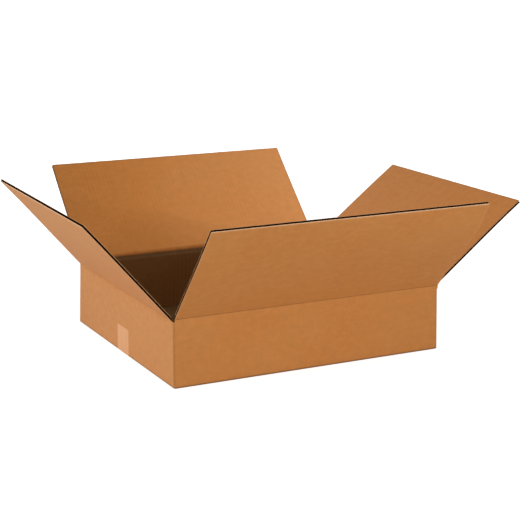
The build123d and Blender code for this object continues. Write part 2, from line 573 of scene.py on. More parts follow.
class Shell:
    """One piece while it is built: its points, its faces, and where each point lies on the sheet."""

    sharp_angle = 38.0

    def __init__(self) -> None:
        """Start with nothing."""
        self.points: list[Array] = []
        self.sheet: list[Array] = []
        self.looks: dict[str, list[Array]] = {"wear_and_painted_sheen": [], "crush_and_painted_shade": [], "bleach": []}
        self.faces: list[list[int]] = []
        self.surfaces: list[Surface] = []
        self.count = 0

    def add_points(
        self,
        points: Array,
        sheet: Array,
        wear_and_painted_sheen: float | Array = 0.0,
        crush_and_painted_shade: float | Array = 0.0,
        bleach: float | Array = 0.0,
    ) -> int:
        """Add points.

        Args:
            points: Places of the points, one row each.
            sheet: Their sheet coordinates, as U, V and w.
            wear_and_painted_sheen: How worn the paper is, from 0 to 1, with painted sheen and
                highlights making it paler as well.
            crush_and_painted_shade: How crushed and dark the paper is, where 1 is a full score; it also
                carries painted shade in creases, along cut edges, at the vertical folds and at the
                walls' feet.
            bleach: How much lighter the paper is painted than elsewhere as painted light, or darker
                where it is negative as painted shade.

        Returns:
            The number of the first of them.
        """
        first = self.count
        self.points.append(points)
        self.sheet.append(sheet)
        for values, look in zip(self.looks.values(), (wear_and_painted_sheen, crush_and_painted_shade, bleach)):
            values.append(np.broadcast_to(look, len(points)))
        self.count += len(points)
        return first

    def add_faces(self, faces: Array | list, surface: Surface) -> None:
        """Add faces of one kind, each a row of point numbers."""
        rows = faces.tolist() if isinstance(faces, np.ndarray) else faces
        self.faces.extend(rows)
        self.surfaces.extend([surface] * len(rows))

    def sweep(
        self,
        place: Placer,
        sheet_of: Placer,
        u: Array,
        v: Array,
        w: Array,
        outer_count: int,
        wear_and_painted_sheen: float | Array = 0.0,
        crush_and_painted_shade: float | Array = 0.0,
        flap_columns: int = 0,
        recess: float = 0.002,
    ) -> None:
        """Sweep a closed section of board and close its ends, with the medium set back in them.

        Args:
            place: Gives the places of points.
            sheet_of: Gives their sheet coordinates.
            u: Places along the sweep, one row for each station.
            v: Places up the sheet, one column for each point, up the outside and down the inside.
            w: Places through the board.
            outer_count: How many of the section's points are on the outside.
            wear_and_painted_sheen: How worn the paper is at each point, with painted sheen making it
                paler as well.
            crush_and_painted_shade: How crushed the paper is at each point, together with the painted
                shade there.
            flap_columns: How many columns of the inside's faces lie on a flap, above the well.
            recess: How far the medium is set back at the ends.
        """
        stations_count, points_count = v.shape
        u = np.broadcast_to(u, v.shape)
        looks = [np.broadcast_to(x, v.shape).ravel() for x in (wear_and_painted_sheen, crush_and_painted_shade)]
        first = self.add_points(place(u, v, w), sheet_of(u, v, w), *looks)
        quads = grid_quads(first, stations_count, points_count)[:, ::-1]
        quads = quads.reshape(stations_count - 1, points_count - 1, 4)
        self.add_faces(quads[:, : outer_count - 1].reshape(-1, 4), Surface.OUTSIDE)
        self.add_faces(quads[:, outer_count - 1], Surface.CUT_ACROSS)
        on_flap, in_well = np.split(quads[:, outer_count:], [flap_columns], axis=1)
        self.add_faces(on_flap.reshape(-1, 4), Surface.INSIDE)
        self.add_faces(in_well.reshape(-1, 4), Surface.WELL)
        corner = first + np.arange(stations_count) * points_count
        last = corner + points_count - 1
        below = np.column_stack((corner[:-1], corner[1:], last[1:], last[:-1]))
        self.add_faces(below, Surface.CUT_ACROSS)

        numbers = np.arange(points_count)
        outside = numbers < outer_count
        for station, inwards in ((0, 1.0), (stations_count - 1, -1.0)):
            end_u, end_v, end_w = u[station], v[station], w[station]
            facing_w = end_w + np.where(outside, BOARD.facing, -BOARD.facing)
            middle = np.interp(end_v, end_v[:outer_count], end_w[:outer_count]) + BOARD.facing
            inset_w = np.where(outside, facing_w, np.maximum(facing_w, middle))
            inset_v = end_v + np.clip(end_v.mean() - end_v, -BOARD.facing, BOARD.facing)
            ring = first + station * points_count + numbers
            mouth, bottom = (
                self.add_points(place(x, inset_v, inset_w), sheet_of(x, inset_v, inset_w)) + numbers
                for x in (end_u, end_u + inwards * recess)
            )
            for near, far in ((ring, mouth), (mouth, bottom)):
                band = np.column_stack((near, np.roll(near, -1), np.roll(far, -1), far))
                self.add_faces(band if inwards < 0 else band[:, ::-1], Surface.CUT_ALONG)
            cap = bottom if inwards < 0 else bottom[::-1]
            self.add_faces([cap.tolist()], Surface.CUT_ALONG)

    def piece(self, name: str, finishes: dict[Surface, Finish]) -> bpy.types.Object:
        """Turn what was added into an object with its UV map, attributes and materials.

        Args:
            name: The piece's name.
            finishes: The finish of each kind of face.

        Returns:
            The new object, at the origin.
        """
        mesh = bpy.data.meshes.new(name)
        mesh.from_pydata(np.concatenate(self.points).tolist(), [], self.faces)
        slots = {}
        for surface in dict.fromkeys(self.surfaces):
            finish = finishes[surface]
            if finish.name not in slots:
                slots[finish.name] = len(slots)
                mesh.materials.append(finish.material())
        slot_of_face = [slots[finishes[surface].name] for surface in self.surfaces]
        mesh.polygons.foreach_set("material_index", slot_of_face)

        u, v, w = np.concatenate(self.sheet)[corner_points(mesh)].T
        kind = np.repeat([s.value for s in self.surfaces], [len(face) for face in self.faces])
        is_cut = kind >= Surface.CUT_ACROSS.value
        map_u = np.where(kind == Surface.CUT_ALONG.value, v * CUT_DRIFT, u)
        is_inside = np.isin(kind, (Surface.INSIDE.value, Surface.WELL.value))
        map_v = np.where(is_cut, w, v + INSIDE_SHIFT * is_inside)
        for label, values in self.looks.items():
            attribute = mesh.attributes.new(label, "FLOAT", "POINT")
            attribute.data.foreach_set("value", np.concatenate(values).astype(np.float32))
        map_and_shade(mesh, np.column_stack((map_u, map_v)), self.sharp_angle)
        return linked(name, mesh)


def grid_quads(first: int, columns: int, rows: int) -> Array:
    """Number the quads of a grid of points that begins at first and runs up each column in turn."""
    corner = first + (np.arange(columns - 1)[:, None] * rows + np.arange(rows - 1)).ravel()
    return np.column_stack((corner, corner + rows, corner + rows + 1, corner + 1))


KRAFT_OUTSIDE = Kraft(
    name="kraft_outside",
    colour=linear(188, 124, 61),
    warm=linear(183, 118, 55),
    line_tone=0.006,
)
KRAFT_INSIDE = Kraft(
    name="kraft_inside",
    colour=linear(200, 130, 64),
    warm=linear(196, 125, 59),
    line_tone=0.022,
    gloss=0.2,
)
# painted shade: a darker, duller copy of the inner kraft for the faces in the carton's well
KRAFT_WELL_SHADED = replace(
    KRAFT_INSIDE,
    name="kraft_well_painted_shade",
    colour=linear(161, 123, 75),
    warm=linear(157, 118, 70),
    line_tone=0.08,
)
CUT_BOARD = CutEdge(
    name="cut_board",
    facing_colour=linear(214, 160, 112),
    medium_colour=linear(120, 78, 44),
    # painted shade of the flutes' hollows
    gap_colour=linear(34, 18, 10),
)
CUT_FACING = replace(
    CUT_BOARD,
    name="cut_facing",
    facing_colour=linear(212, 164, 120),
    medium_colour=linear(212, 164, 120),
    gap_colour=linear(206, 156, 112),
)
# painted shade: the medium is coloured near black, as the flutes' hollows are in shade
SHADED_MEDIUM = FlutedPaper(name="fluted_paper_painted_shade", colour=linear(36, 18, 8), deep=linear(20, 9, 3))
TAPE = TapeFilm(
    name="buff_tape", colour=linear(217, 160, 110), streak=linear(228, 178, 132), alpha=0.92
)
FLOOR = StudioFloor(
    name="studio_floor", colour=(0.86, 0.86, 0.86, 1.0), seen_colour=(0.35, 0.35, 0.35, 1.0)
)
FINISHES = {
    Surface.OUTSIDE: KRAFT_OUTSIDE,
    Surface.INSIDE: KRAFT_INSIDE,
    Surface.WELL: KRAFT_WELL_SHADED,
    Surface.HIDDEN: SHADED_MEDIUM,
    Surface.CUT_ACROSS: CUT_BOARD,
    Surface.CUT_ALONG: CUT_BOARD,
}


class FlutedSheet:
    """Makes the fluted medium of a panel with one Geometry Nodes tree, shared by all panels."""

    steps_per_flute = 12
    rows = 12

    def __init__(self, board: Board) -> None:
        """Build the tree for one kind of board."""
        self.board = board
        self.tree = bpy.data.node_groups.new("fluted_sheet", "GeometryNodeTree")
        self.inputs: dict[str, str] = {}
        kinds = {"Steps": "Int", "Rows": "Int", "Paper": "Material"}
        lengths = ("Length", "Reach", "Pitch", "Swing", "Phase", "Thickness")
        for name in (*lengths, *kinds):
            kind = f"NodeSocket{kinds.get(name, 'Float')}"
            socket = self.tree.interface.new_socket(name, in_out="INPUT", socket_type=kind)
            self.inputs[name] = socket.identifier
        self.tree.interface.new_socket("Geometry", in_out="OUTPUT", socket_type="NodeSocketGeometry")
        self.wire()

    def wire(self) -> None:
        """Add the tree's nodes: a grid is waved, given its thickness on both sides and closed."""
        graph = Graph(self.tree)
        given = graph.add("NodeGroupInput").outputs
        sizes = {"Size X": given["Length"], "Size Y": given["Reach"]}
        counts = {"Vertices X": given["Steps"], "Vertices Y": given["Rows"]}
        grid = graph.add("GeometryNodeMeshGrid", sizes | counts)
        place = graph.add("GeometryNodeInputPosition").outputs[0]
        x = graph.add("ShaderNodeSeparateXYZ", {0: place}).outputs[0]
        turn = graph.math("DIVIDE", graph.math("MULTIPLY", x, 2 * math.pi), given["Pitch"])
        wave = graph.math("COSINE", graph.math("ADD", turn, given["Phase"]))
        lift = graph.add("ShaderNodeCombineXYZ", {2: graph.math("MULTIPLY", wave, given["Swing"])})
        waved = graph.add("GeometryNodeSetPosition", {0: grid.outputs[0], "Offset": lift.outputs[0]})
        normal = graph.add("GeometryNodeInputNormal").outputs[0]
        half = graph.math("MULTIPLY", given["Thickness"], -0.5)
        sunk = graph.scaled(normal, half)
        low = graph.add("GeometryNodeSetPosition", {0: waved.outputs[0], "Offset": sunk})
        inputs = {0: low.outputs[0], "Offset Scale": given["Thickness"], "Individual": False}
        high = graph.add("GeometryNodeExtrudeMesh", inputs, mode="FACES").outputs[0]
        under = graph.add("GeometryNodeFlipFaces", {0: low.outputs[0]}).outputs[0]
        both = graph.add("GeometryNodeJoinGeometry")
        graph.feed(both.inputs[0], high)
        graph.feed(both.inputs[0], under)
        closed = graph.add("GeometryNodeMergeByDistance", {0: both.outputs[0], "Distance": 1e-6})
        real = graph.add("GeometryNodeRealizeInstances", {0: closed.outputs[0]})
        dressed = graph.add(
            "GeometryNodeSetMaterial", {0: real.outputs[0], "Material": given["Paper"]}
        )
        graph.add("NodeGroupOutput", {0: dressed.outputs[0]})

    def mesh(self, name: str, length: float, reach: float, phase: float) -> bpy.types.Mesh:
        """Make the medium of one panel, lying flat about the origin.

        Args:
            name: Name for the mesh.
            length: Size across the flutes.
            reach: Size along the flutes.
            phase: Sheet coordinate of the middle, which sets where the flutes' tips are.

        Returns:
            A plain mesh.
        """
        board = self.board
        holder = linked(f"{name}_holder", bpy.data.meshes.new(f"{name}_holder"))
        modifier = holder.modifiers.new("fluted_sheet", "NODES")
        modifier.node_group = self.tree
        values = {
            "Length": length,
            "Reach": reach,
            "Pitch": board.pitch,
            "Swing": -board.swing(),
            "Phase": 2 * math.pi * (phase % board.pitch) / board.pitch,
            "Thickness": board.medium,
            "Steps": round(length / board.pitch * self.steps_per_flute) + 1,
            "Rows": self.rows,
            "Paper": SHADED_MEDIUM.material(),
        }
        for label, value in values.items():
            modifier[self.inputs[label]] = value
        evaluated = holder.evaluated_get(bpy.context.evaluated_depsgraph_get())
        made = bpy.data.meshes.new_from_object(evaluated)
        made.name = name
        bpy.data.objects.remove(holder)
        return made


def rim_quads(low: int, high: int, columns: int, rows: int) -> Array:
    """Number the quads that join the outlines of two grids of points.

    Args:
        low: Number of the lower grid's first point.
        high: Number of the upper grid's first point.
        columns: How many columns of points each has.
        rows: How many points are in a column.

    Returns:
        One row of four point numbers for each quad.
    """
    across = np.arange(columns) * rows
    beside = np.arange(rows)
    sides = (across[:-1], across[-1] + beside[:-1], (across + rows - 1)[:0:-1], beside[:0:-1])
    ring = np.concatenate(sides)
    following = np.roll(ring, -1)
    return np.column_stack((low + ring, low + following, high + following, high + ring))


@dataclass
class Panel:
    """A flap of the sheet: where it lies, how far it reaches, and its two facings and medium."""

    name: str
    origin: Array  # a point of the fold line
    along: Array  # along the fold
    up: Array  # up the sheet
    inward: Array  # from the outer facing to the inner one
    span: tuple[float, float]  # its ends along the fold
    rise: tuple[float, float]  # its lowest and highest place up the sheet, from the fold
    sheet_u: float  # sheet coordinates of the origin
    sheet_v: float
    free_edge: float  # the end of rise that is cut across the flutes
    corner_radii: tuple[float, float] = (0.0015, 0.0015)  # at the low and the high end of the span
    bleach: tuple[float, float, float] = (0.0, 0.0, 0.0)  # painted light and shade on the inside, at the low end, middle and high end
    edge_wander: float = 0.00012  # how far the free edge wanders
    edge_waves: tuple[float, ...] = (97.0, 211.0, 643.0)  # in radians for each metre
    wander_depth: float = 0.004  # how far in from the edge that is felt
    rubbed: float = 0.0  # painted sheen: how much paler the whole outer facing is painted
    # next four: worn paper and painted highlight along the outer facing's cut edges, weaker at its
    # sides; painted shade along the inner facing's cut edges; and how wide both are
    edge_wear_and_painted_highlight: float = 0.9
    end_wear_and_painted_highlight: float = 0.1
    edge_shade: float = 0.7
    wear_width: float = 0.0014
    inside: Kraft | None = None  # finish of the inner facing, where it isn't the usual one
    fray: float = 0.1  # share by which a facing is thicker at its cut edge
    fray_width: float = 0.0007
    medium_setback: float = 0.0012  # from the free edge
    flute_sharp_angle: float = 50.0
    row_count: int = 16
    edge_gaps: tuple[float, ...] = (0.0, 0.0003, 0.0008, 0.0018, 0.004)  # rows by the free edge
    edge_clearance: float = 0.006  # between the free edge and the nearest even row

    def trimmed(self, u: Array, v: Array) -> tuple[Array, Array]:
        """Round the free corners and let the free edge wander as a die cuts it.

        Args:
            u: Places along the fold.
            v: Places up the sheet.

        Returns:
            The trimmed places along and up.
        """
        upwards = math.copysign(1.0, self.free_edge - sum(self.rise) / 2)
        for end, radius in zip(self.span, self.corner_radii):
            outwards = math.copysign(1.0, end - sum(self.span) / 2)
            a = np.clip(1 - np.abs(u - end) / radius, 0.0, 1.0)
            b = np.clip(1 - np.abs(v - self.free_edge) / radius, 0.0, 1.0)
            u = u + outwards * radius * (a * np.sqrt(1 - b * b / 2) - a)
            v = v + upwards * radius * (b * np.sqrt(1 - a * a / 2) - b)
        phases = (0.0, 1.3, self.sheet_u)
        wander = sum(np.sin(u * turns + phase) for turns, phase in zip(self.edge_waves, phases))
        near_edge = bell(v - self.free_edge, self.wander_depth)
        back = self.edge_wander * (len(phases) + wander) / 2  # never past the nominal edge
        return u, v - upwards * near_edge * back

    def place(self, u: Array, v: Array, w: Array) -> Array:
        """Give the places of points along the fold, up the sheet and through the board, in rows."""
        u, v, w = point_rows(u, v, w).T[:, :, None]
        return self.origin + self.along * u + self.up * v + self.inward * w

    def sheet_of(self, u: Array, v: Array, w: Array) -> Array:
        """Give the sheet coordinates of points of this panel, one row each."""
        return point_rows(u + self.sheet_u, v + self.sheet_v, w)

    def rows(self) -> Array:
        """List places up the sheet, closer to each other at the free edge."""
        low, high = self.rise
        step = (high - low) / self.row_count
        even = np.arange(low, high + step / 2, step)
        even = even[np.abs(even - self.free_edge) > self.edge_clearance]
        inwards = 1.0 if self.free_edge == low else -1.0
        fine = self.free_edge + inwards * np.array(self.edge_gaps)
        return np.unique(np.concatenate((even, fine)).round(7))

    def edge_share(self, u: Array, v: Array, width: float, end_part: float = 1.0) -> Array:
        """Say how near places are to a cut edge, up to 1 at it, and up to end_part at the two sides."""
        ends = np.maximum(*(bell(u - end, width) for end in self.span))
        return np.maximum(bell(v - self.free_edge, width), ends * end_part)

    def add_facing(self, shell: Shell, surface: Surface) -> None:
        """Add one facing as a closed sheet of paper.

        Args:
            shell: Where it is added.
            surface: OUTSIDE or INSIDE.
        """
        columns = BOARD.columns(*self.span, self.sheet_u)
        rows = self.rows()
        u, v = self.trimmed(*np.meshgrid(columns, rows, indexing="ij"))
        facing = BOARD.facing * (1 + self.fray * self.edge_share(u, v, self.fray_width))
        if surface is Surface.OUTSIDE:
            low = BOARD.outside(u + self.sheet_u)
            high = low + facing
            # worn paper and painted highlight along the outer facing's cut edges
            wear_and_painted_sheen = self.edge_share(u, v, self.wear_width, self.end_wear_and_painted_highlight) * self.edge_wear_and_painted_highlight
            looks = (np.maximum(wear_and_painted_sheen, self.rubbed).ravel(), 0.0, 0.0)
            low_surface, high_surface = surface, Surface.HIDDEN
        else:
            high = BOARD.inside(u + self.sheet_u)
            low = high - facing
            # painted shade along the inner facing's cut edges
            shade = self.edge_share(u, v, self.wear_width) * self.edge_shade
            knots = (self.span[0], sum(self.span) / 2, self.span[1])
            looks = (0.0, shade.ravel(), np.interp(u.ravel(), knots, self.bleach))
            low_surface, high_surface = Surface.HIDDEN, surface
        first_low = shell.add_points(self.place(u, v, low), self.sheet_of(u, v, low), *looks)
        first_high = shell.add_points(self.place(u, v, high), self.sheet_of(u, v, high), *looks)
        size = (len(columns), len(rows))
        shell.add_faces(grid_quads(first_low, *size)[:, ::-1], low_surface)
        shell.add_faces(grid_quads(first_high, *size), high_surface)
        shell.add_faces(rim_quads(first_low, first_high, *size), Surface.CUT_ALONG)

    def flutes(self, sheet: FlutedSheet) -> bpy.types.Object:
        """Make the medium between the facings, as a piece in place.

        Args:
            sheet: The maker of fluted sheets.

        Returns:
            The new object, at the origin.
        """
        low, high = self.rise
        if self.free_edge == high:
            high -= self.medium_setback
        else:
            low += self.medium_setback
        middle_u = sum(self.span) / 2
        middle_v = (low + high) / 2
        length = self.span[1] - self.span[0]
        name = f"{self.name}_flutes"
        mesh = sheet.mesh(name, length, high - low, self.sheet_u + middle_u)
        u, v, w = vertex_places(mesh).T
        u, v, w = u + middle_u, v + middle_v, w + BOARD.thickness / 2
        u, v = self.trimmed(u, v)
        mesh.vertices.foreach_set("co", self.place(u, v, w).ravel())
        sheet_places = self.sheet_of(u, v, w)[corner_points(mesh), :2]
        map_and_shade(mesh, sheet_places, self.flute_sharp_angle)
        mesh.update()
        return linked(name, mesh)

    def build(self, sheet: FlutedSheet) -> list[bpy.types.Object]:
        """Make the panel's facings and its medium.

        Args:
            sheet: The maker of fluted sheets.

        Returns:
            The two new objects.
        """
        shell = Shell()
        self.add_facing(shell, Surface.OUTSIDE)
        self.add_facing(shell, Surface.INSIDE)
        finishes = {**FINISHES, Surface.CUT_ALONG: CUT_FACING}
        if self.inside:
            finishes[Surface.INSIDE] = self.inside
        return [shell.piece(f"{self.name}_facings", finishes), self.flutes(sheet)]


@dataclass
class TopFlap(Panel):
    """A top flap, which leans outwards and bows a little, with the score that it turns on."""

    lean: float = 0.0
    bows: tuple[float, float] = (0.0, 0.0)  # outwards, at the low and the high end of the span
    flares: tuple[float, float] = (0.0, 0.0)  # extra reach at the low and the high end of the span
    score_reach: float = 0.006  # how far the score's strip reaches each side of the fold
    score_steps: tuple[float, ...] = (0.0, 0.04, 0.09, 0.16, 0.3, 0.6, 1.0)  # shares of score_reach
    bend_reach: float = 0.0005  # how far the bend at rest reaches each side of the fold
    blend_reach: float = 0.001  # how far each side of the fold two points of the score are taken
    bow_skew: float = 1.8  # above 1, a bowed flap is fullest near its free edge
    web: float = 0.0004  # thickness of the paper at the fold
    web_reach: float = 0.0004  # how far it stays so thin each side of the fold
    groove: float = 0.0058  # how far the score's groove reaches each side of the fold
    score_shade_reach: tuple[float, float] = (0.006, 0.0017)  # painted shade in the score's inner groove and on the wall under it, reaching so far on the wall and on the flap
    # crushed fibres and painted shade of the groove along the fold's outer line
    fold_shade: float = 1.0
    fold_shade_width: float = 0.0007
    valley: float = 0.0001  # depth of the line that the fold leaves outside
    valley_width: float = 0.0005

    def bow(self, u: Array, v: Array) -> Array:
        """Say how far the flap bows outwards.

        Args:
            u: Places along the fold.
            v: Places up the flap.

        Returns:
            The distance at each place.
        """
        low, high = self.span
        share = smooth_step((u - low) / (high - low))
        height = np.sin(np.pi * np.clip(v / self.rise[1], 0.0, 1.0) ** self.bow_skew)
        return (self.bows[0] * (1 - share) + self.bows[1] * share) * height

    def place(self, u: Array, v: Array, w: Array) -> Array:
        """Give the places of points of this flap, or of its wall where v is below the fold.

        Args:
            u: Places along the fold.
            v: Places up from the fold.
            w: Places through the board.

        Returns:
            One row of x, y and z for each point.
        """
        u, v, w = point_rows(u, v, w).T[:, :, None]
        share = (u - self.span[0]) / (self.span[1] - self.span[0])
        flare = self.flares[0] * (1 - share) + self.flares[1] * share
        v = v + flare * np.clip(v / self.rise[1], 0.0, 1.0)
        turn = self.lean * smooth_step((v + self.bend_reach) / (2 * self.bend_reach))
        up = self.up * np.cos(turn) - self.inward * np.sin(turn)
        inward = self.inward * np.cos(turn) + self.up * np.sin(turn)
        return self.origin + self.along * u + up * v + inward * (w - self.bow(u, v))

    def crease(self) -> bpy.types.Object:
        """Make the scored strip that bends between the wall and the flap.

        Returns:
            The new object.
        """
        steps = np.array(self.score_steps)
        outer_v = np.concatenate((-steps[:0:-1], steps)) * self.score_reach
        inner_v = outer_v[::-1]
        u = BOARD.columns(*self.span, self.sheet_u)[:, None]
        s = u + self.sheet_u
        outer_w = BOARD.outside(s) + self.valley * bell(outer_v, self.valley_width)
        depth = BOARD.thickness - self.web
        sink = (self.groove - np.abs(inner_v)) / (self.groove - self.web_reach)
        inner_w = BOARD.inside(s) - depth * np.clip(sink, 0.0, 1.0)
        v = np.concatenate((outer_v, inner_v)) + 0 * u
        w = np.concatenate((outer_w, inner_w), axis=1)
        # painted shade: the fold's outer line, the inner groove and a band of the wall under it are
        # painted darker
        inner_width = np.where(inner_v < 0, *self.score_shade_reach)
        outer_crush_and_painted_shade = self.fold_shade * bell(outer_v, self.fold_shade_width)
        crush_and_painted_shade = np.concatenate((outer_crush_and_painted_shade, bell(inner_v, inner_width))) + 0 * u
        count = len(outer_v)
        wear_and_painted_sheen = self.rubbed * (np.arange(2 * count) < count)
        shell = Shell()
        shell.sweep(self.place, self.sheet_of, u, v, w, count, wear_and_painted_sheen, crush_and_painted_shade, count // 2)
        return shell.piece(f"{self.name}_crease", FINISHES)


@dataclass
class WallPath:
    """Outline of the walls, walked clockwise from the glued joint's cut edge to the tab's end."""

    length: float
    width: float
    thickness: float
    corner_radius: float = 0.0035
    tab_width: float = 0.035

    def __post_init__(self) -> None:
        """Lay out the straight stretches and the bends between them."""
        x, y, r = self.length / 2, self.width / 2, self.corner_radius
        self.straights = {
            "right": (np.array((x, y)), np.array((0.0, -1.0)), self.width - r),
            "front": (np.array((x - r, -y)), np.array((-1.0, 0.0)), self.length - 2 * r),
            "left": (np.array((-x, -y + r)), np.array((0.0, 1.0)), self.width - 2 * r),
            "back": (np.array((-x + r, y)), np.array((1.0, 0.0)), self.length - self.thickness - 2 * r),
            "tab": (
                np.array((x - self.thickness, y - r)),
                np.array((0.0, -1.0)),
                self.thickness + self.tab_width - r,
            ),
        }
        self.starts = {}
        position = 0.0
        for name, (_, _, run) in self.straights.items():
            self.starts[name] = position
            position += run + math.pi / 2 * r
        self.total = position - math.pi / 2 * r

    def ends(self, name: str) -> tuple[float, float]:
        """Give the positions at which a straight stretch starts and ends."""
        return self.starts[name], self.starts[name] + self.straights[name][2]

    def bends(self) -> Array:
        """List the positions at which the four corners' bends begin."""
        return np.array([self.ends(name)[1] for name in WALLS])

    def middle(self, name: str) -> float:
        """Give the position on a wall that is level with the middle of the carton."""
        start, direction, _ = self.straights[name]
        return self.starts[name] - float(start @ direction)

    def at(self, s: Array, w: Array) -> Array:
        """Give places in plan.

        Args:
            s: Positions along the outline.
            w: Distances inwards from the outer facing.

        Returns:
            One row of x and y for each.
        """
        place = np.zeros((len(s), 2))
        for name, (start, direction, run) in self.straights.items():
            inward = np.array((direction[1], -direction[0]))
            begin = self.starts[name]
            here = s >= begin
            place[here] = start + direction * (s[here] - begin)[:, None] + inward * w[here, None]
            bend = s > begin + run
            angle = (s[bend] - begin - run)[:, None] / self.corner_radius
            centre = start + direction * run + inward * self.corner_radius
            turned = inward * np.cos(angle) - direction * np.sin(angle)
            place[bend] = centre - turned * (self.corner_radius - w[bend, None])
        return place


@dataclass
class Walls:
    """The four walls and the glued tab, as one folded strip with painted shade along its vertical
    folds.
    """

    path: WallPath
    long_height: float
    short_height: float
    flap_spans: dict[str, tuple[float, float]]
    score_reach: float
    long_foot_radius: float = 0.002
    short_foot_lift: float = 0.0003
    short_foot_radius: float = 0.0012
    tab_foot: float = 0.0103  # height of the glued tab's lower end
    tab_clearance: float = 0.0078  # from the tab's upper end to the short walls' height
    tab_slope: float = 0.005  # how far both its ends slope
    fold_thickness: float = 0.0031  # of the board where a vertical fold presses it
    left_painted_sheen: float = 0.11  # painted sheen: how much paler the left wall is painted
    upright_fold_painted_shade: tuple[float, float] = (0.8, 0.6)  # painted shade, outside and inside, at the vertical folds
    upright_fold_painted_shade_width: float = 0.0018
    fold_reach: float = 0.0052  # how far from a vertical fold's middle the board is pressed thin
    fold_ease: float = 0.0026  # over how much of that it gets thinner
    bend_margin: float = 0.003  # how far past a bend the closer stations go on
    bend_stations: int = 15
    least_step: float = 0.0003
    foot_angles: tuple[float, ...] = (0.0, 30.0, 60.0, 90.0)
    foot_painted_shadow: tuple[float, ...] = (1.3, 1.3, 1.3, 1.2, 0.2)  # painted contact shadow, up the foot's bend
    height_shares: tuple[float, ...] = (0.012, 0.04, 0.15, 0.3, 0.5, 0.7, 0.88, 1.0)  # rows up a wall
    hair: float = 0.00002  # a step in height takes this much of the outline

    def tops(self) -> tuple[Array, Array]:
        """List the strip's top height along the outline.

        Returns:
            Positions and heights, between which the top is straight.
        """
        marks = [(0.0, self.short_height)]
        for name in WALLS:
            height = self.long_height if name in ("front", "back") else self.short_height
            low, high = (self.path.middle(name) + end for end in self.flap_spans[name])
            scored = height - self.score_reach
            marks += [(low - self.hair, self.short_height), (low, scored), (high, scored)]
            marks += [(high + self.hair, self.short_height)]
        start, end = self.path.ends("tab")
        top = self.short_height - self.tab_clearance
        marks += [(start, self.short_height), (start + self.hair, top), (end, top - self.tab_slope)]
        return tuple(np.array(marks).T)

    def feet(self) -> tuple[Array, Array, Array]:
        """List the strip's lowest height and the radius of its foot along the outline.

        Returns:
            Positions, heights and radii, between which both are straight.
        """
        short = (self.short_foot_lift, self.short_foot_radius)
        long = (0.0, self.long_foot_radius)
        right_end = self.path.ends("right")[1]
        left_start, left_end = self.path.ends("left")
        start, end = self.path.ends("tab")
        marks = [
            (0.0, *short),
            (right_end, *short),
            (right_end + self.hair, *long),
            (left_start - self.hair, *long),
            (left_start, *short),
            (left_end, *short),
            (left_end + self.hair, *long),
            (start, *long),
            (start + self.hair, self.tab_foot, 0.0),
            (end, self.tab_foot + self.tab_slope, 0.0),
        ]
        return tuple(np.array(marks).T)

    def positions(self) -> Array:
        """List the stations along the outline: four to a flute, closer in the bends, and each mark."""
        even = np.arange(0.0, self.path.total, BOARD.pitch / 4)
        marks = np.concatenate((self.tops()[0], self.feet()[0]))
        margin = self.bend_margin
        bend = math.pi / 2 * self.path.corner_radius
        bends = self.path.bends()[:, None] + np.linspace(-margin, bend + margin, self.bend_stations)
        fixed = np.unique(np.concatenate((marks, bends.ravel(), [self.path.total])).round(6))
        apart = np.min(np.abs(even[:, None] - fixed[None, :]), axis=1) > self.least_step
        return np.unique(np.concatenate((even[apart], fixed)))

    def place(self, s: Array, v: Array, w: Array) -> Array:
        """Give the places of points of the walls, one row of x, y and z each."""
        s, v, w = point_rows(s, v, w).T
        return np.column_stack((self.path.at(s, w), v))

    def build(self) -> bpy.types.Object:
        """Make the walls.

        Returns:
            The new object.
        """
        s = self.positions()
        top = np.interp(s, *self.tops())[:, None]
        feet_s, feet_z, feet_r = self.feet()
        foot = np.interp(s, feet_s, feet_z)[:, None]
        radius = np.interp(s, feet_s, feet_r)[:, None]
        angle = np.radians(self.foot_angles)
        share = np.array(self.height_shares)
        arc_v = foot + radius * (1 - np.cos(angle))
        arc_w = radius * (1 - np.sin(angle))
        outer_v = foot + radius + (top - foot - radius) * share
        inner_v = np.concatenate((foot + (top - foot) * share[::-1], foot), axis=1)
        off_folds = np.abs(s[:, None] - self.path.bends() - math.pi / 4 * self.path.corner_radius)
        from_fold = off_folds.min(axis=1)[:, None]
        fold = smooth_step((self.fold_reach - from_fold) / self.fold_ease)
        outer_w = BOARD.outside(s)[:, None] + 0 * outer_v
        pressed = (self.fold_thickness - BOARD.thickness) * fold
        inner_w = BOARD.inside(s)[:, None] + pressed + 0 * inner_v
        v = np.concatenate((arc_v, outer_v, inner_v), axis=1)
        w = np.concatenate((arc_w + 0 * foot, outer_w, inner_w), axis=1)
        outer_count = len(angle) + len(share)
        outside = np.arange(v.shape[1]) < outer_count
        on_left = (s > self.path.ends("left")[0]) & (s < self.path.ends("left")[1])
        # painted sheen on the left wall's outer facing
        wear_and_painted_sheen = self.left_painted_sheen * on_left[:, None] * outside
        crush_and_painted_shade = bell(from_fold, self.upright_fold_painted_shade_width) * np.where(outside, *self.upright_fold_painted_shade)
        at_foot = np.zeros(v.shape[1])
        at_foot[: len(self.foot_painted_shadow)] = self.foot_painted_shadow
        crush_and_painted_shade = np.maximum(crush_and_painted_shade, at_foot)
        shell = Shell()
        shell.sweep(self.place, point_rows, s[:, None], v, w, outer_count, wear_and_painted_sheen, crush_and_painted_shade)
        return shell.piece("carton_walls", FINISHES)


